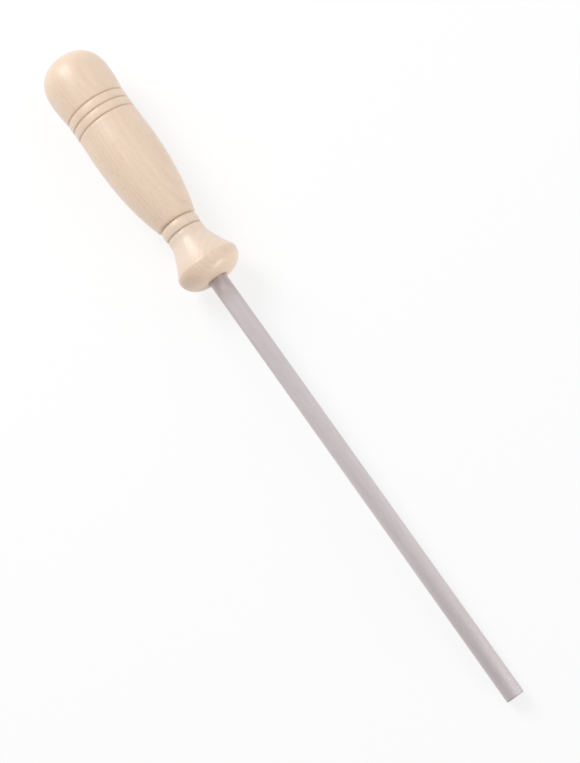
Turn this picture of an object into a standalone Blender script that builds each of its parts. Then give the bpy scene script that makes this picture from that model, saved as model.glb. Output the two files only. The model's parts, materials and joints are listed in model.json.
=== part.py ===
"""A butcher's sharpening steel, lying on a table.

A round steel rod carries a square tang, which an epoxy bed holds in the bore of a turned beech
handle. Handle and guard are one piece of wood. The steel rests on the guard's rim and on the lower
edge of the rod's tip, so its axis slopes down towards the tip and the butt stands clear.

Each piece is turned about its own X axis: X = 0 is the guard's front face, the tip is at +X, and
the butt at -X. Distances called "back" run from the guard's front face towards the butt.
"""

import math

import bmesh
import bpy

# Steel rod and tang.
ROD_LENGTH = 0.254  # what shows in front of the guard
ROD_RADIUS = 0.0049
TIP_CHAMFER = 0.0004
TANG_LENGTH = 0.075
TANG_FRONT_SIDE = 0.005
TANG_END_SIDE = 0.0036
TANG_OVERLAP = 0.004  # how far the tang's form reaches into the rod that it is joined to

# Wooden handle, measured back from the guard's front face.
HANDLE_LENGTH = 0.1420
FACE_RADIUS = 0.0066  # flat round the rod
RIM_BACK, RIM_RADIUS = 0.0087, 0.0172
RIM_EDGE = 0.0016  # length of the rim's rounded rear edge
RIM_EDGE_DROP = 0.0003
RIM_SLOPE = -0.60  # of the flare, where it leaves the rim
FLARE_BACK, FLARE_RADIUS = 0.0236, 0.0107
FLARE_SLOPE = -0.36  # where it meets the neck
NECK_BACK, NECK_RADIUS = 0.0273, 0.0102
GRIP_FRONT_RADIUS = 0.0110
GRIP_FRONT_SLOPE = 0.31
GRIP_BACK, GRIP_RADIUS = 0.0845, 0.01735
WAIST_RADIUS = 0.0169
BUTT_FRONT_SLOPE = 0.14
SWELL_BACK, SWELL_RADIUS = 0.1235, 0.0179
DOME_POWER = 2.45  # of the superellipse that closes the butt: 2 would make a plain ellipse

# Beads and the grooves that part them.
NECK_GROOVES = (0.0296, 0.0358)
NECK_BEAD_RADIUS = 0.0105
BUTT_GROOVES = (0.0997, 0.1049, 0.1101)
BUTT_BEAD_RADIUS = 0.0170
GROOVE_DEPTH = 0.0007
GROOVE_HALF_WIDTH = 0.0008

# Bore, and what fills it.
GAP = 0.0003
SOCKET_DEPTH = 0.012  # length of rod inside the handle
SOCKET_RADIUS = ROD_RADIUS + GAP
BORE_RADIUS = 0.00475
BORE_DEPTH = SOCKET_DEPTH + TANG_LENGTH + 0.003
DRILL_POINT = 0.0015

SIDES = 40  # of every turned piece, with one side facing straight down
SHARP_ANGLE = math.radians(32)


def curve(start, end, start_slope, end_slope, steps):
    """Points after start, up to end, on the cubic that has these slopes at its two ends."""
    (back, radius), (end_back, end_radius) = start, end
    length = end_back - back
    points = []
    for step in range(1, steps + 1):
        t = step / steps
        from_start = (2 * t**3 - 3 * t**2 + 1) * radius + (t**3 - 2 * t**2 + t) * length * start_slope
        from_end = (3 * t**2 - 2 * t**3) * end_radius + (t**3 - t**2) * length * end_slope
        points.append((back + t * length, from_start + from_end))
    return points


def groove(back, radius, rear_radius=None):
    """A V cut by the corner of a turning chisel, from lip to lip."""
    return [
        (back - GROOVE_HALF_WIDTH, radius),
        (back, radius - GROOVE_DEPTH),
        (back + GROOVE_HALF_WIDTH, rear_radius or radius),
    ]


def bead(first_groove, second_groove, foot_radius, crest_radius, steps=6):
    """The rounded ridge between two grooves, without its two feet."""
    start = first_groove + GROOVE_HALF_WIDTH
    length = second_groove - GROOVE_HALF_WIDTH - start
    rise = crest_radius - foot_radius
    return [
        (start + length * step / steps, foot_radius + rise * math.sin(math.pi * step / steps))
        for step in range(1, steps)
    ]


def bore_outline():
    """From the drill point on the axis, out along the bore, to the mouth in the guard's face."""
    return [
        (BORE_DEPTH + DRILL_POINT, 0.0),
        (BORE_DEPTH, BORE_RADIUS),
        (SOCKET_DEPTH + GAP, BORE_RADIUS),
        (SOCKET_DEPTH + GAP, SOCKET_RADIUS),
        (0.0, SOCKET_RADIUS),
    ]


def guard_outline(steps=7):
    """The domed front, the rounded rim, and the flare that narrows to the neck."""
    points = []
    for step in range(steps + 1):
        turn = math.pi / 2 * step / steps
        back = RIM_BACK * (1 - math.cos(turn))
        points.append((back, FACE_RADIUS + (RIM_RADIUS - FACE_RADIUS) * math.sin(turn)))
    edge = (RIM_BACK + RIM_EDGE, RIM_RADIUS - RIM_EDGE_DROP)
    points += curve(points[-1], edge, 0.0, RIM_SLOPE, 3)
    points += curve(edge, (FLARE_BACK, FLARE_RADIUS), RIM_SLOPE, FLARE_SLOPE, 6)
    points += curve(points[-1], (NECK_BACK, NECK_RADIUS), FLARE_SLOPE, 0.0, 3)
    return points


def neck_outline():
    """Two grooves with a bead between them."""
    front, rear = NECK_GROOVES
    ridge = bead(front, rear, NECK_RADIUS, NECK_BEAD_RADIUS)
    return groove(front, NECK_RADIUS) + ridge + groove(rear, NECK_RADIUS, GRIP_FRONT_RADIUS)


def grip_outline():
    """The long swell that the hand closes round, and the waist behind it, up to the first groove."""
    start = (NECK_GROOVES[1] + GROOVE_HALF_WIDTH, GRIP_FRONT_RADIUS)
    waist = (BUTT_GROOVES[0] - GROOVE_HALF_WIDTH, WAIST_RADIUS)
    points = curve(start, (GRIP_BACK, GRIP_RADIUS), GRIP_FRONT_SLOPE, 0.0, 12)
    return points + curve(points[-1], waist, 0.0, 0.0, 4)[:-1]


def butt_grooves_outline():
    """Three grooves with two beads between them."""
    points = []
    for first, second in zip(BUTT_GROOVES, BUTT_GROOVES[1:]):
        points += groove(first, WAIST_RADIUS)
        points += bead(first, second, WAIST_RADIUS, BUTT_BEAD_RADIUS, steps=4)
    return points + groove(BUTT_GROOVES[-1], WAIST_RADIUS)


def butt_outline(steps=12):
    """The swell at the butt, and the dome that closes it on the axis."""
    start = (BUTT_GROOVES[-1] + GROOVE_HALF_WIDTH, WAIST_RADIUS)
    points = curve(start, (SWELL_BACK, SWELL_RADIUS), BUTT_FRONT_SLOPE, 0.0, 4)
    dome_length = HANDLE_LENGTH - SWELL_BACK
    for step in range(1, steps):
        turn = math.pi / 2 * step / steps
        reach = dome_length * math.sin(turn) ** (2 / DOME_POWER)
        points.append((SWELL_BACK + reach, SWELL_RADIUS * math.cos(turn) ** (2 / DOME_POWER)))
    return points + [(HANDLE_LENGTH, 0.0)]


def handle_outline():
    return (
        bore_outline()
        + guard_outline()
        + neck_outline()
        + grip_outline()
        + butt_grooves_outline()
        + butt_outline()
    )


def rod_outline():
    """From the rod's buried shoulder to its flat tip, in distances back, so the tip is negative."""
    return [
        (SOCKET_DEPTH, 0.0),
        (SOCKET_DEPTH, ROD_RADIUS),
        (-ROD_LENGTH + TIP_CHAMFER, ROD_RADIUS),
        (-ROD_LENGTH, ROD_RADIUS - TIP_CHAMFER),
        (-ROD_LENGTH, 0.0),
    ]


def bed_outline():
    """The resin in the bore, clear of the rod's shoulder and of the bore by the gap."""
    front = SOCKET_DEPTH + 2 * GAP
    rear = BORE_DEPTH - GAP
    radius = BORE_RADIUS - GAP
    return [(front, 0.0), (front, radius), (rear, radius), (rear + DRILL_POINT, 0.0)]


def turned(name, outline, material):
    """One closed body: an outline of (back, radius) points, its ends on the axis, turned about X."""
    start_angle = math.pi / SIDES
    shape = bmesh.new()
    verts = [
        shape.verts.new((-back, radius * math.cos(start_angle), radius * math.sin(start_angle)))
        for back, radius in outline
    ]
    edges = [shape.edges.new(pair) for pair in zip(verts, verts[1:])]
    bmesh.ops.spin(
        shape,
        geom=verts + edges,
        cent=(0, 0, 0),
        axis=(1, 0, 0),
        angle=2 * math.pi,
        steps=SIDES,
        use_merge=True,
    )
    bmesh.ops.remove_doubles(shape, verts=shape.verts, dist=1e-6)
    return finished(name, shape, material)


def square_taper(name, front, rear, front_side, rear_side, material):
    """A square bar along the axis, from front to rear in distances back, with flats up and down."""
    shape = bmesh.new()
    bmesh.ops.create_cone(
        shape,
        cap_ends=True,
        segments=4,
        radius1=rear_side / math.sqrt(2),
        radius2=front_side / math.sqrt(2),
        depth=rear - front,
    )
    for vert in shape.verts:
        across, up, along = vert.co
        turn = math.pi / 4
        vert.co = (
            along - (front + rear) / 2,
            across * math.cos(turn) - up * math.sin(turn),
            across * math.sin(turn) + up * math.cos(turn),
        )
    return finished(name, shape, material)


def finished(name, shape, material):
    """The shape as a named object, with outward faces, smooth round sides and its material."""
    bmesh.ops.recalc_face_normals(shape, faces=shape.faces)
    mesh = bpy.data.meshes.new(name)
    shape.to_mesh(mesh)
    shape.free()
    mesh.shade_smooth()
    mesh.set_sharp_from_angle(angle=SHARP_ANGLE)
    mesh.materials.append(material)
    piece = bpy.data.objects.new(name, mesh)
    bpy.context.scene.collection.objects.link(piece)
    return piece


def combine(piece, form, operation):
    """Joins a form to a piece, or cuts it out, and keeps the form as a hidden guide."""
    boolean = piece.modifiers.new(form.name, "BOOLEAN")
    boolean.object = form
    boolean.operation = operation
    boolean.solver = "EXACT"
    form.hide_render = True
    form.display_type = "WIRE"


def principled(name, colour, roughness, metallic=0.0, coat=0.0):
    material = bpy.data.materials.new(name)
    material.use_nodes = True
    shader = material.node_tree.nodes["Principled BSDF"]
    shader.inputs["Base Color"].default_value = (*colour, 1.0)
    shader.inputs["Roughness"].default_value = roughness
    shader.inputs["Metallic"].default_value = metallic
    shader.inputs["Coat Weight"].default_value = coat
    return material


def make_handle():
    beech = principled("lacquered_beech", (0.76, 0.59, 0.45), roughness=0.45, coat=0.3)
    return [turned("handle", handle_outline(), beech)]


def make_rod():
    steel = principled("matt_steel", (0.74, 0.68, 0.69), roughness=0.47, metallic=1.0)
    rod = turned("sharpening_rod", rod_outline(), steel)
    tang = square_taper(
        "tang_form",
        SOCKET_DEPTH - TANG_OVERLAP,
        SOCKET_DEPTH + TANG_LENGTH,
        TANG_FRONT_SIDE,
        TANG_END_SIDE,
        steel,
    )
    combine(rod, tang, "UNION")
    return [rod, tang]


def make_bed():
    """The cured resin round the tang. Its cavity is the tang's form with the gap added all round."""
    resin = principled("cured_epoxy", (0.34, 0.25, 0.17), roughness=0.35)
    bed = turned("tang_bed", bed_outline(), resin)
    cavity = square_taper(
        "tang_clearance",
        SOCKET_DEPTH - TANG_OVERLAP,
        SOCKET_DEPTH + TANG_LENGTH + GAP,
        TANG_FRONT_SIDE + 2 * GAP,
        TANG_END_SIDE + 2 * GAP,
        resin,
    )
    combine(bed, cavity, "DIFFERENCE")
    return [bed, cavity]


def lying_pose():
    """An empty that sets the steel's slope, and centres it over the origin with its lowest edge at 0."""
    flat = math.cos(math.pi / SIDES)  # centre of a side, as a share of the radius at its corners
    tip_x = ROD_LENGTH - TIP_CHAMFER
    slope = math.atan2((RIM_RADIUS - ROD_RADIUS) * flat, tip_x + RIM_BACK)
    outline = handle_outline() + rod_outline()
    reach = [
        -back * math.cos(slope) + side * radius * flat * math.sin(slope)
        for back, radius in outline
        for side in (-1, 1)
    ]
    pose = bpy.data.objects.new("lying_pose", None)
    pose.location.x = -(min(reach) + max(reach)) / 2
    pose.location.z = tip_x * math.sin(slope) + ROD_RADIUS * flat * math.cos(slope)
    pose.rotation_euler.y = slope
    bpy.context.scene.collection.objects.link(pose)
    return pose


def main():
    for old in list(bpy.data.objects):
        bpy.data.objects.remove(old, do_unlink=True)
    pose = lying_pose()
    for piece in make_handle() + make_rod() + make_bed():
        piece.parent = pose


main()
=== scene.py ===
"""Looks of the butcher's sharpening steel: turned wood, ribbed rod and resin, on a pale studio floor.

Every shape is made in the steel's own frame: X = 0 is the guard's front face, the rod's tip is at
+X, the butt at -X, and the steel's axis is the X axis. STEEL places that frame in the row frame, by
the mount on the rod's tip. Distances called "back" run from the guard's front face to the butt.
"""

import json
import math

import bpy
from mathutils import Matrix, Vector


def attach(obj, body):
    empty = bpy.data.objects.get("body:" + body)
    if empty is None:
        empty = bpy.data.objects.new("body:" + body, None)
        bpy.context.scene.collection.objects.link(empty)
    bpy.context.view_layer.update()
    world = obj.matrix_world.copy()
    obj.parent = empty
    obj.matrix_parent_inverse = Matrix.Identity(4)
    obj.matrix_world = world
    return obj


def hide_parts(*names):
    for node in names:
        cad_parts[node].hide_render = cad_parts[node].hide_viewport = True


# Rod and tang, in metres.
ROD_LENGTH = 0.254
ROD_RADIUS = 0.0049
TIP_CHAMFER = 0.0004
TIP_CENTRE = 0.0015  # radius of the inner ring of vertices on the tip's face
RIBS = 72
RIB_DEPTH = 0.00009
RIB_CREST = 1.3  # more makes broader crests and narrower valleys
RIBS_END = 0.004  # how far in front of the guard the ribs have run out
RIBS_RUN_OUT = 0.006
SOCKET_DEPTH = 0.012
TANG_LENGTH = 0.075
TANG_FRONT_SIDE, TANG_END_SIDE = 0.005, 0.0036

# Handle.
HANDLE_LENGTH = 0.1420
FACE_RADIUS = 0.0066
RIM_BACK, RIM_RADIUS = 0.0087, 0.0172
RIM_EDGE, RIM_EDGE_DROP = 0.0016, 0.0003
RIM_SLOPE, FLARE_SLOPE = -0.60, -0.36
FLARE_BACK, FLARE_RADIUS = 0.0236, 0.0107
NECK_BACK, NECK_RADIUS = 0.0273, 0.0102
GRIP_FRONT_RADIUS, GRIP_FRONT_SLOPE = 0.0110, 0.31
GRIP_BACK, GRIP_RADIUS = 0.0845, 0.01735
WAIST_RADIUS = 0.0169
BUTT_FRONT_SLOPE = 0.14
SWELL_BACK, SWELL_RADIUS = 0.1235, 0.0179
DOME_POWER = 2.45  # of the superellipse that closes the butt

# Grooves and beads.
NECK_GROOVES = (0.0296, 0.0358)
NECK_BEAD_RADIUS = 0.0105
BUTT_GROOVES = (0.0997, 0.1049, 0.1101)
BUTT_BEAD_RADIUS = 0.0170
GROOVE_DEPTH, GROOVE_HALF_WIDTH = 0.0007, 0.0008
GROOVE_CUSP = 1.5  # 1 would make straight sides, and more makes softer lips
NECK_GROOVE_SHADES_AND_BURNISH = (1.0, 0.35)  # how dark each groove is painted, from 0 to 1: painted shade, with some burnishing from turning
BUTT_GROOVE_SHADE_AND_BURNISH = 0.5
GROOVE_SHADE_REACH = 1.25 * GROOVE_HALF_WIDTH

# Bore and resin.
GAP = 0.0003
SOCKET_RADIUS, BORE_RADIUS = ROD_RADIUS + GAP, 0.00475
MOUTH_BREAK = 0.0002  # of the sharp edge at the bore's mouth
BORE_DEPTH = SOCKET_DEPTH + TANG_LENGTH + 0.003
DRILL_POINT = 0.0015
SKIN = 0.00003  # what keeps the resin's surface clear of steel and wood
MENISCUS = 0.00025  # how far the resin stands proud of the guard's face

# Sides of the round bodies.
HANDLE_SIDES = 192
SIDES_PER_RIB = 6
BED_SIDES = 96

# How the wood's grain lies, and its colours.
PITH_TO_AXIS = (0.0, 0.052, 0.038)  # the tree's pith lies beside the blank, parallel to its axis
PITH_DISTANCE = 0.064
RING_WIDTH = 0.0023
RING_WANDER = 0.0065
GRAIN_SLOPE = 0.035  # how much the rings run out along the handle
PALE_WOOD = (0.80, 0.632, 0.488)
DEEP_WOOD = (0.665, 0.48, 0.345)
PORE_BROWN = (0.46, 0.29, 0.18)
RAY_BROWN = (0.52, 0.33, 0.21)
ROSY_WOOD = (0.80, 0.56, 0.42)
# Painted highlight: the pale tint that makes the neck and flare look lit by the lacquer's sheen.
NECK_HIGHLIGHT_TINT = (0.82, 0.70, 0.60)
# Painted shade: the darker patch on one side of the guard's front face.
FACE_SHADE_BROWN = (0.50, 0.33, 0.25)
# End grain, darkened further as painted shade that holds down the butt dome's highlight.
END_GRAIN_AND_SHADE_BROWN = (0.60, 0.41, 0.28)
# Painted shade in the grooves, with some burnishing.
GROOVE_SHADE_AND_BURNISH_BROWN = (0.42, 0.27, 0.17)
# Darkening by resin and painted shade round the rod, where it enters the guard's face.
MOUTH_RESIN_AND_SHADE_BROWN = (0.36, 0.25, 0.18)
FACE_SHADE_TO_ORIGIN = (0.002, 0.011, -0.006)  # from the painted shade's centre, in the guard's front
FACE_SHADE_SHARPNESS = (70.0, 75.0, 75.0)  # one over its reach in metres, along each axis

# Steel and resin colours.
LINE_STEEL = (0.735, 0.668, 0.68)
PALE_STEEL = (0.85, 0.776, 0.79)
# A duller steel tone, for the random bloom and for the painted shade at the rod's two ends.
DULL_AND_SHADED_STEEL = (0.58, 0.52, 0.53)
WORN_STEEL = (0.40, 0.37, 0.38)
# Painted shadow: the guard's shadow on the rod, put into the steel's colour.
GUARD_SHADOW_GREY = (0.46, 0.37, 0.33)
DARK_RESIN = (0.26, 0.18, 0.12)
PALE_RESIN = (0.42, 0.31, 0.21)

# The camera, as the photograph sees the steel.
VIEW_DISTANCE = 1.005
VIEW_AHEAD, VIEW_ASIDE = 0.0640, -0.00028  # the point looked at, in the steel's own frame
VIEW_LEAN = math.radians(9.5)  # from square-on to the axis, towards the tip
VIEW_ROLL = math.radians(54.51)  # of the axis below the picture's horizontal
LENS = 95.1

# The studio.
FLOOR_SIZE = 8.0
FLOOR_DROP = 0.0001  # how far the floor lies below the object
FLOOR_GLOW = 0.725
WORLD_GLOW = 0.60


def steel_frame(record):
    """The matrix that takes the steel's own frame to the row frame, from the mount on the tip."""
    mount = record["mounts"][0]
    tip, along = Vector(mount["pos_m"]), Vector(mount["axis"]).normalized()
    across = Vector((0, 1, 0))
    turn = Matrix((along, across, along.cross(across))).transposed().to_4x4()
    return Matrix.Translation(tip - along * ROD_LENGTH) @ turn


# Outlines and meshes


def curve(start, end, start_slope, end_slope, steps):
    """Points after start, up to end, on the cubic that has these slopes at its two ends."""
    (back, radius), (end_back, end_radius) = start, end
    length = end_back - back
    points = []
    for step in range(1, steps + 1):
        t = step / steps
        from_start = (2 * t**3 - 3 * t**2 + 1) * radius + (t**3 - 2 * t**2 + t) * length * start_slope
        from_end = (3 * t**2 - 2 * t**3) * end_radius + (t**3 - t**2) * length * end_slope
        points.append((back + t * length, from_start + from_end))
    return points


def groove(back, radius, rear_radius=None, steps=6):
    """A turned groove with soft lips and a sharp bottom. Its rear lip may have its own radius."""
    points = []
    for step in range(-steps, steps + 1):
        t = step / steps
        lip = radius if t < 0 else rear_radius or radius
        depth = GROOVE_DEPTH + (lip - radius)
        points.append((back + t * GROOVE_HALF_WIDTH, lip - depth * (1 - abs(t)) ** GROOVE_CUSP))
    return points


def bead(first_groove, second_groove, foot_radius, crest_radius, steps=16):
    """The rounded ridge between two grooves, without its two feet."""
    start = first_groove + GROOVE_HALF_WIDTH
    length = second_groove - GROOVE_HALF_WIDTH - start
    rise = crest_radius - foot_radius
    return [
        (start + length * step / steps, foot_radius + rise * math.sin(math.pi * step / steps))
        for step in range(1, steps)
    ]


def bore_outline():
    """From the drill point on the axis to the mouth in the guard's face, whose edge is broken."""
    return [
        (BORE_DEPTH + DRILL_POINT, 0.0),
        (BORE_DEPTH, BORE_RADIUS),
        (SOCKET_DEPTH + GAP, BORE_RADIUS),
        (SOCKET_DEPTH + GAP, SOCKET_RADIUS),
        (MOUTH_BREAK, SOCKET_RADIUS),
        (0.0, SOCKET_RADIUS + MOUTH_BREAK),
    ]


def guard_outline(steps=28):
    """The domed front, the rounded rim, and the flare that narrows to the neck."""
    points = []
    for step in range(steps + 1):
        turn = math.pi / 2 * step / steps
        back = RIM_BACK * (1 - math.cos(turn))
        points.append((back, FACE_RADIUS + (RIM_RADIUS - FACE_RADIUS) * math.sin(turn)))
    edge = (RIM_BACK + RIM_EDGE, RIM_RADIUS - RIM_EDGE_DROP)
    points += curve(points[-1], edge, 0.0, RIM_SLOPE, 10)
    points += curve(edge, (FLARE_BACK, FLARE_RADIUS), RIM_SLOPE, FLARE_SLOPE, 30)
    points += curve(points[-1], (NECK_BACK, NECK_RADIUS), FLARE_SLOPE, 0.0, 10)
    return points


def neck_outline():
    """Two grooves with a bead between them."""
    front, rear = NECK_GROOVES
    ridge = bead(front, rear, NECK_RADIUS, NECK_BEAD_RADIUS)
    return groove(front, NECK_RADIUS) + ridge + groove(rear, NECK_RADIUS, GRIP_FRONT_RADIUS)


def grip_outline():
    """The long swell that the hand closes round, and the waist behind it, up to the first groove."""
    start = (NECK_GROOVES[1] + GROOVE_HALF_WIDTH, GRIP_FRONT_RADIUS)
    waist = (BUTT_GROOVES[0] - GROOVE_HALF_WIDTH, WAIST_RADIUS)
    points = curve(start, (GRIP_BACK, GRIP_RADIUS), GRIP_FRONT_SLOPE, 0.0, 48)
    return points + curve(points[-1], waist, 0.0, 0.0, 14)[:-1]


def butt_grooves_outline():
    """Three grooves with two beads between them."""
    points = []
    for first, second in zip(BUTT_GROOVES, BUTT_GROOVES[1:]):
        points += groove(first, WAIST_RADIUS)
        points += bead(first, second, WAIST_RADIUS, BUTT_BEAD_RADIUS, steps=12)
    return points + groove(BUTT_GROOVES[-1], WAIST_RADIUS)


def butt_outline(steps=40):
    """The swell at the butt, and the dome that closes it on the axis."""
    start = (BUTT_GROOVES[-1] + GROOVE_HALF_WIDTH, WAIST_RADIUS)
    points = curve(start, (SWELL_BACK, SWELL_RADIUS), BUTT_FRONT_SLOPE, 0.0, 18)
    dome_length = HANDLE_LENGTH - SWELL_BACK
    for step in range(1, steps):
        turn = math.pi / 2 * step / steps
        reach = dome_length * math.sin(turn) ** (2 / DOME_POWER)
        points.append((SWELL_BACK + reach, SWELL_RADIUS * math.cos(turn) ** (2 / DOME_POWER)))
    return points + [(HANDLE_LENGTH, 0.0)]


def handle_outline():
    """The whole turned outline, from the bottom of the bore round to the butt."""
    return (
        bore_outline()
        + guard_outline()
        + neck_outline()
        + grip_outline()
        + butt_grooves_outline()
        + butt_outline()
    )


def loft(name, stations, sides):
    """One closed body through rings of (back, radius), where radius may be a function of the angle.
    A radius of 0 is a point on the axis, for the two ends."""
    verts, rings = [], []
    for back, radius in stations:
        start = len(verts)
        if radius == 0:
            verts.append((-back, 0.0, 0.0))
            rings.append([start] * sides)
            continue
        for side in range(sides):
            angle = 2 * math.pi * side / sides
            reach = radius(angle) if callable(radius) else radius
            verts.append((-back, reach * math.cos(angle), reach * math.sin(angle)))
        rings.append(list(range(start, start + sides)))
    faces = []
    for ring, following in zip(rings, rings[1:]):
        for side in range(sides):
            after = (side + 1) % sides
            face = (ring[side], following[side], following[after], ring[after])
            faces.append(tuple(dict.fromkeys(face)))
    mesh = bpy.data.meshes.new(name)
    mesh.from_pydata(verts, [], faces)
    mesh.validate()
    mesh.shade_smooth()
    return mesh


def add_piece(name, mesh, material, node):
    """The mesh as a piece in the steel's frame, standing for a CAD node."""
    mesh.materials.append(material)
    piece = bpy.data.objects.new(name, mesh)
    bpy.context.scene.collection.objects.link(piece)
    piece.matrix_world = STEEL
    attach(piece, "root")
    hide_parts(node)
    return piece


# Materials


class Shader:
    """Adds nodes to one material and links them, with object coordinates at hand."""

    def __init__(self, name):
        self.material = bpy.data.materials.new(name)
        self.material.use_nodes = True
        self.tree = self.material.node_tree
        self.principled = self.tree.nodes["Principled BSDF"]
        self.coordinates = self.add("ShaderNodeTexCoord")
        self.place = self.coordinates.outputs["Object"]

    def add(self, kind, settings=None, inputs=None):
        """A node of this kind. Its inputs are given by name or by number."""
        node = self.tree.nodes.new(kind)
        for setting, value in (settings or {}).items():
            setattr(node, setting, value)
        for socket, value in (inputs or {}).items():
            self.set(node.inputs[socket], value)
        return node

    def set(self, socket, value):
        """Links another node's output to the socket, or gives the socket this value. A colour comes
        without its alpha."""
        if isinstance(value, bpy.types.NodeSocket):
            self.tree.links.new(value, socket)
        elif socket.type == "RGBA":
            socket.default_value = (*value, 1.0)
        else:
            socket.default_value = value

    def math(self, operation, first, second=0.0):
        node = self.add("ShaderNodeMath", {"operation": operation}, {0: first, 1: second})
        return node.outputs[0]

    def plus(self, first, second):
        return self.math("ADD", first, second)

    def times(self, first, second):
        return self.math("MULTIPLY", first, second)

    def vector(self, operation, first, second=(0.0, 0.0, 0.0)):
        return self.add("ShaderNodeVectorMath", {"operation": operation}, {0: first, 1: second}).outputs

    def moved(self, place, offset):
        return self.vector("ADD", place, offset)["Vector"]

    def scaled(self, place, factors):
        return self.vector("MULTIPLY", place, factors)["Vector"]

    def across(self, place):
        """What is left of a place without its part along the steel's axis."""
        return self.scaled(place, (0.0, 1.0, 1.0))

    def length(self, place):
        return self.vector("LENGTH", place)["Value"]

    def split(self, place):
        """The place's X, Y and Z, by name."""
        return self.add("ShaderNodeSeparateXYZ", inputs={"Vector": place}).outputs

    def noise(self, place, size, detail=2.0, roughness=0.5):
        """Noise from 0 to 1 whose grains are this size, in metres along each axis."""
        scaled = self.scaled(place, tuple(1 / side for side in size))
        inputs = {"Vector": scaled, "Scale": 1.0, "Detail": detail, "Roughness": roughness}
        return self.add("ShaderNodeTexNoise", inputs=inputs).outputs["Fac"]

    def between(self, value, low, high):
        """0 below low, 1 above high, smooth between."""
        inputs = {"Value": value, "From Min": low, "From Max": high}
        node = self.add("ShaderNodeMapRange", {"interpolation_type": "SMOOTHSTEP"}, inputs)
        return node.outputs["Result"]

    def fading(self, value, low, high):
        """1 below low, 0 above high, smooth between."""
        return self.math("SUBTRACT", 1.0, self.between(value, low, high))

    def mix(self, share, first, second):
        inputs = {0: share, 6: first, 7: second}
        return self.add("ShaderNodeMix", {"data_type": "RGBA"}, inputs).outputs[2]

    def tint(self, colour, where, strength, towards):
        """The colour, taken this far towards another one where it applies."""
        return self.mix(self.times(where, strength), colour, towards)

    def bump(self, height, distance, strength):
        inputs = {"Height": height, "Distance": distance, "Strength": strength}
        node = self.add("ShaderNodeBump", inputs=inputs)
        self.set(self.principled.inputs["Normal"], node.outputs["Normal"])

    def finish(self, **values):
        """The material, with these inputs of its surface set."""
        for name, value in values.items():
            self.set(self.principled.inputs[name.replace("_", " ")], value)
        return self.material


def grain_place(wood):
    """How far a point is from the pith, with the rings' wander, and coordinates that follow the tree:
    along the trunk, out from the pith, and round it."""
    x = wood.split(wood.place)["X"]
    from_pith = wood.across(wood.moved(wood.place, PITH_TO_AXIS))
    drift = wood.noise(wood.place, (0.09, 0.03, 0.03))
    wander = wood.plus(wood.times(drift, RING_WANDER), wood.times(x, GRAIN_SLOPE))
    out = wood.plus(wood.length(from_pith), wander)
    parts = wood.split(from_pith)
    around = wood.times(wood.math("ARCTAN2", parts["Z"], parts["Y"]), PITH_DISTANCE)
    grain = wood.add("ShaderNodeCombineXYZ", inputs={"X": x, "Y": out, "Z": around})
    return out, grain.outputs["Vector"]


def growth_rings(wood, out, grain):
    """Darker late wood at the end of each year's ring, stronger in some places than in others."""
    phase = wood.math("FRACT", wood.math("DIVIDE", out, RING_WIDTH))
    late = wood.times(wood.between(phase, 0.15, 0.88), wood.fading(phase, 0.9, 1.0))
    uneven = wood.noise(grain, (0.05, 0.004, 0.03))
    return wood.times(late, wood.between(uneven, 0.25, 0.75))


def wood_marks_and_painted_light(wood, colour):
    """The colour with what isn't even along the handle, much of it painted light: a painted highlight
    on the neck and flare, painted shade on one side of the guard's front, end grain that is also
    darkened as painted shade, painted shade in the grooves with some burnishing, and darkening by resin
    with painted shade round the rod. The handle is where x is below 0."""
    x = wood.split(wood.place)["X"]
    # Painted highlight on the neck and flare, put into the wood's colour.
    neck_highlight = wood.times(wood.between(x, -0.036, -0.029), wood.fading(x, -0.016, -0.008))
    colour = wood.tint(colour, neck_highlight, 0.38, NECK_HIGHLIGHT_TINT)
    # Painted shade on one side of the guard's front face.
    from_face_shade = wood.scaled(wood.moved(wood.place, FACE_SHADE_TO_ORIGIN), FACE_SHADE_SHARPNESS)
    colour = wood.tint(colour, wood.fading(wood.length(from_face_shade), 0.3, 1.1), 0.45, FACE_SHADE_BROWN)
    # End grain where the surface faces along the axis, also darkened as painted shade against the
    # dome's highlight.
    facing = wood.split(wood.coordinates.outputs["Normal"])["X"]
    end_grain_and_shade = wood.between(wood.math("ABSOLUTE", facing), 0.55, 1.0)
    colour = wood.tint(colour, end_grain_and_shade, 0.25, END_GRAIN_AND_SHADE_BROWN)
    # Painted shade in the grooves, with some burnishing, from a value stored on the mesh.
    groove_shade_and_burnish = wood.add("ShaderNodeAttribute", {"attribute_name": "groove_shade_and_burnish"}).outputs["Fac"]
    colour = wood.tint(colour, groove_shade_and_burnish, 0.42, GROOVE_SHADE_AND_BURNISH_BROWN)
    # Darkening by resin and painted shade in the guard's face round the rod.
    from_axis = wood.length(wood.across(wood.place))
    mouth = wood.times(wood.fading(from_axis, 0.0052, 0.0085), wood.between(x, -0.006, -0.002))
    return wood.tint(colour, mouth, 0.34, MOUTH_RESIN_AND_SHADE_BROWN)


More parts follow.
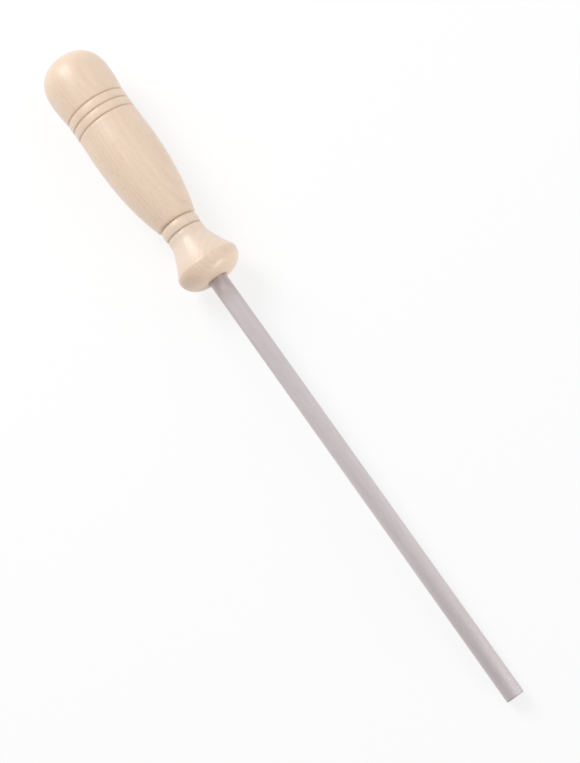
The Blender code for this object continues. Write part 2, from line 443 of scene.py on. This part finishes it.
def beech():
    """Steamed beech under a thin clear lacquer: faint growth rings, fine fibres, pores, ray flecks."""
    wood = Shader("lacquered_beech")
    out, grain = grain_place(wood)
    rings = growth_rings(wood, out, grain)
    fibre = wood.noise(grain, (0.016, 0.00045, 0.00045), detail=3.0, roughness=0.6)
    pores = wood.between(wood.noise(grain, (0.0022, 0.00018, 0.00018), detail=1.0), 0.60, 0.74)
    rays = wood.between(wood.noise(grain, (0.0020, 0.0036, 0.00032), detail=1.0), 0.61, 0.70)
    cloud = wood.noise(wood.place, (0.045, 0.016, 0.016), detail=1.0)

    colour = wood.tint(PALE_WOOD, rings, 0.34, DEEP_WOOD)
    colour = wood.tint(colour, wood.between(fibre, 0.42, 0.74), 0.30, DEEP_WOOD)
    colour = wood.tint(colour, pores, 0.16, PORE_BROWN)
    colour = wood.tint(colour, rays, 0.17, RAY_BROWN)
    colour = wood.tint(colour, cloud, 0.16, ROSY_WOOD)
    colour = wood_marks_and_painted_light(wood, colour)

    hollows = wood.plus(pores, wood.times(rays, 0.4))
    wood.bump(wood.math("SUBTRACT", wood.times(fibre, 0.5), hollows), distance=0.00004, strength=0.35)
    return wood.finish(
        Base_Color=colour,
        Roughness=wood.plus(0.40, wood.times(fibre, 0.16)),
        Coat_Weight=0.7,
        Coat_Roughness=0.3,
        Coat_IOR=1.5,
        Specular_IOR_Level=0.4,
    )


def rod_steel():
    """Hard-chromed tool steel, matt grey, with grinding lines along the ribs and a slight bloom. Its
    two ends are painted darker than its middle as shade that dims their reflections, with a painted
    shadow of the guard near the guard and a worn edge at the tip."""
    steel = Shader("ribbed_steel")
    x = steel.split(steel.place)["X"]
    lines = steel.noise(steel.place, (0.012, 0.00012, 0.00012), detail=2.0, roughness=0.6)
    bloom = steel.noise(steel.place, (0.03, 0.006, 0.006), detail=3.0)
    from_middle = steel.math("ABSOLUTE", steel.math("SUBTRACT", x, ROD_LENGTH / 2))
    worn_tip = steel.between(x, ROD_LENGTH - 0.0008, ROD_LENGTH - 0.0003)

    colour = steel.mix(steel.between(lines, 0.3, 0.75), LINE_STEEL, PALE_STEEL)
    colour = steel.tint(colour, bloom, 0.25, DULL_AND_SHADED_STEEL)
    # Painted shade: the rod's two ends are darkened to dim their reflections.
    colour = steel.tint(colour, steel.between(from_middle, 0.03, 0.11), 0.33, DULL_AND_SHADED_STEEL)
    # Painted shadow of the guard on the first 20 mm of the rod.
    colour = steel.tint(colour, steel.fading(x, 0.0, 0.020), 0.42, GUARD_SHADOW_GREY)
    colour = steel.tint(colour, worn_tip, 0.6, WORN_STEEL)

    roughness = steel.plus(0.42, steel.times(steel.plus(lines, bloom), 0.10))
    roughness = steel.plus(roughness, steel.times(worn_tip, 0.25))
    steel.bump(lines, distance=0.00001, strength=0.25)
    return steel.finish(Base_Color=colour, Roughness=roughness, Metallic=1.0)


def resin():
    """Cured epoxy, brown and slightly cloudy."""
    epoxy = Shader("cured_epoxy")
    cloud = epoxy.noise(epoxy.place, (0.004, 0.0015, 0.0015), detail=3.0)
    epoxy.bump(cloud, distance=0.00005, strength=0.3)
    return epoxy.finish(
        Base_Color=epoxy.mix(cloud, DARK_RESIN, PALE_RESIN),
        Roughness=epoxy.plus(0.22, epoxy.times(cloud, 0.18)),
        Coat_Weight=0.2,
        Coat_Roughness=0.1,
    )


def floor_paper():
    """White paper on a light table: lit from below as well, so that shadows on it stay faint."""
    paper = Shader("floor_paper")
    fibre = paper.noise(paper.place, (0.0015, 0.0015, 0.0015), detail=4.0)
    return paper.finish(
        Base_Color=paper.mix(fibre, (0.25, 0.25, 0.25), (0.27, 0.27, 0.27)),
        Roughness=0.95,
        Specular_IOR_Level=0.0,
        Emission_Color=(1.0, 1.0, 1.0),
        Emission_Strength=FLOOR_GLOW,
    )


# Pieces


def groove_shade_and_burnish_at(back, radius):
    """How dark the wood is painted here, as painted shade in the grooves with some burnishing from
    turning: darkest at a groove's bottom, fading at its lips.
    """
    if radius < FACE_RADIUS:
        return 0.0  # inside the bore
    groove_darkness = list(zip(NECK_GROOVES, NECK_GROOVE_SHADES_AND_BURNISH))
    groove_darkness += [(bottom, BUTT_GROOVE_SHADE_AND_BURNISH) for bottom in BUTT_GROOVES]
    return max(0.0, *(darkness * (1 - abs(back - bottom) / GROOVE_SHADE_REACH) for bottom, darkness in groove_darkness))


def make_handle():
    mesh = loft("turned_handle", handle_outline(), HANDLE_SIDES)
    groove_shade_and_burnish = mesh.attributes.new("groove_shade_and_burnish", "FLOAT", "POINT")
    for point, vert in zip(groove_shade_and_burnish.data, mesh.vertices):
        point.value = groove_shade_and_burnish_at(-vert.co.x, math.hypot(vert.co.y, vert.co.z))
    return add_piece("turned_handle", mesh, beech(), "handle")


def square(side):
    """The reach of a square bar at an angle from its flat's middle."""
    return lambda angle: side / 2 / max(abs(math.cos(angle)), abs(math.sin(angle)))


def ribbed(depth, limit=ROD_RADIUS):
    """The reach of the ribbed rod: rounded crests, narrow valleys, and no more than the limit."""

    def reach(angle):
        valley = (1 - abs(math.cos(RIBS * angle / 2))) ** RIB_CREST
        return min(limit, ROD_RADIUS - depth * valley)

    return reach


def chamfered_tip(steps=4):
    """The flat end of the rod, and its chamfer, which cuts the ribs off."""
    tip, flat_radius = -ROD_LENGTH, ROD_RADIUS - TIP_CHAMFER
    stations = [(tip, 0), (tip, TIP_CENTRE), (tip, flat_radius)]
    for step in range(1, steps + 1):
        cut = TIP_CHAMFER * step / steps
        stations.append((tip + cut, ribbed(RIB_DEPTH, flat_radius + cut)))
    return stations


def ribs_run_out(steps=12):
    """Where the ribs fade into the plain rod, in front of the guard."""
    stations = []
    for step in range(steps + 1):
        t = step / steps
        depth = RIB_DEPTH * (1 - t * t * (3 - 2 * t))
        stations.append((-RIBS_END - RIBS_RUN_OUT * (1 - t), ribbed(depth)))
    return stations


def make_rod():
    shoulder, tang_end = SOCKET_DEPTH, SOCKET_DEPTH + TANG_LENGTH
    stations = chamfered_tip() + ribs_run_out()
    stations += [(shoulder, ROD_RADIUS), (shoulder, square(TANG_FRONT_SIDE))]
    stations += [(tang_end, square(TANG_END_SIDE)), (tang_end, 0)]
    mesh = loft("steel_rod", stations, RIBS * SIDES_PER_RIB)
    mesh.set_sharp_from_angle(angle=math.radians(50))
    return add_piece("steel_rod", mesh, rod_steel(), "sharpening_rod")


def make_bed():
    """The resin: a sleeve round the rod, whose front edge shows as a thin line, and the bed round the
    tang behind it."""
    shoulder, tang_end = SOCKET_DEPTH + SKIN, SOCKET_DEPTH + TANG_LENGTH + SKIN
    inner, outer = ROD_RADIUS + SKIN, SOCKET_RADIUS - SKIN
    step_back, rear = SOCKET_DEPTH + GAP + SKIN, BORE_DEPTH - SKIN
    round_tang = [
        (tang_end, 0),
        (tang_end, square(TANG_END_SIDE + 2 * SKIN)),
        (shoulder, square(TANG_FRONT_SIDE + 2 * SKIN)),
        (shoulder, inner),
    ]
    meniscus = [
        (0.0, inner),
        (-MENISCUS, inner + 0.00002),
        (-MENISCUS * 0.45, inner + 0.00012),
        (-MENISCUS * 0.1, outer),
        (MOUTH_BREAK + 0.0001, outer),
    ]
    in_bore = [
        (step_back, outer),
        (step_back, BORE_RADIUS - SKIN),
        (rear, BORE_RADIUS - SKIN),
        (rear + DRILL_POINT, 0),
    ]
    mesh = loft("resin_bed", round_tang + meniscus + in_bore, BED_SIDES)
    mesh.set_sharp_from_angle(angle=math.radians(40))
    return add_piece("resin_bed", mesh, resin(), "tang_bed")


# Studio


def make_floor():
    below = (0, 0, -FLOOR_DROP)
    bpy.ops.mesh.primitive_grid_add(x_subdivisions=2, y_subdivisions=2, size=FLOOR_SIZE, location=below)
    floor = bpy.context.object
    floor.name = "studio_floor"
    floor.data.materials.append(floor_paper())


def camera_axes():
    """The picture's right and up, and the way from the steel to the camera, in the row frame."""
    along, across, square_on = (Vector(STEEL.col[i][:3]) for i in range(3))
    towards = along * math.sin(VIEW_LEAN) + square_on * math.cos(VIEW_LEAN)
    along_picture = along * math.cos(VIEW_LEAN) - square_on * math.sin(VIEW_LEAN)
    right = along_picture * math.cos(VIEW_ROLL) + across * math.sin(VIEW_ROLL)
    return right, towards.cross(right), towards


def looked_at():
    return STEEL @ Vector((VIEW_AHEAD, VIEW_ASIDE, 0))


def make_camera():
    right, up, towards = camera_axes()
    camera = bpy.data.objects.new("camera", bpy.data.cameras.new("camera"))
    camera.data.lens = LENS
    turn = Matrix((right, up, towards)).transposed().to_4x4()
    camera.matrix_world = Matrix.Translation(looked_at() + towards * VIEW_DISTANCE) @ turn
    bpy.context.scene.collection.objects.link(camera)
    bpy.context.scene.camera = camera


def soft_light(name, direction, distance, size, power):
    """A softbox that faces the steel. Its direction is given in the picture's right, up and towards,
    and its size as across and along, where along lies in the plane of the direction and the view."""
    right, up, towards = camera_axes()
    away = (right * direction[0] + up * direction[1] + towards * direction[2]).normalized()
    across = towards.cross(away).normalized()
    light = bpy.data.objects.new(name, bpy.data.lights.new(name, "AREA"))
    light.data.shape = "RECTANGLE"
    light.data.size, light.data.size_y = size
    light.data.energy = power
    turn = Matrix((across, away.cross(across), away)).transposed().to_4x4()
    light.matrix_world = Matrix.Translation(looked_at() + away * distance) @ turn
    bpy.context.scene.collection.objects.link(light)


def make_world():
    world = bpy.data.worlds.new("studio")
    world.use_nodes = True
    background = world.node_tree.nodes["Background"]
    background.inputs["Color"].default_value = (1.0, 1.0, 1.0, 1.0)
    background.inputs["Strength"].default_value = WORLD_GLOW
    bpy.context.scene.world = world


def make_studio():
    make_world()
    soft_light("strip_behind_butt", (-0.64, 0.61, 0.50), distance=1.4, size=(0.64, 0.95), power=10.7)
    soft_light("tip_softbox", (0.85, -0.50, 0.26), distance=1.4, size=(0.84, 0.42), power=9.4)
    soft_light("right_softbox", (0.34, 0.55, 0.76), distance=1.2, size=(0.8, 0.5), power=0.9)
    make_floor()
    make_camera()
    view = bpy.context.scene.view_settings
    view.view_transform = "Standard"
    view.look = "None"


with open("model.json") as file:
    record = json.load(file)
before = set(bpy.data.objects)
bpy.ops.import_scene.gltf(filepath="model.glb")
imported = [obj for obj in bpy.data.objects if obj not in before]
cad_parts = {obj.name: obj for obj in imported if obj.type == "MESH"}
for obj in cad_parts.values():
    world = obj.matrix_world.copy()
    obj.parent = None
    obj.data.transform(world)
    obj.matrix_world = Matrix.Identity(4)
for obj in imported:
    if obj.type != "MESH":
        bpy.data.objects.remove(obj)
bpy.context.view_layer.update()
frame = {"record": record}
STEEL = steel_frame(frame["record"])
make_handle()
make_rod()
make_bed()
make_studio()
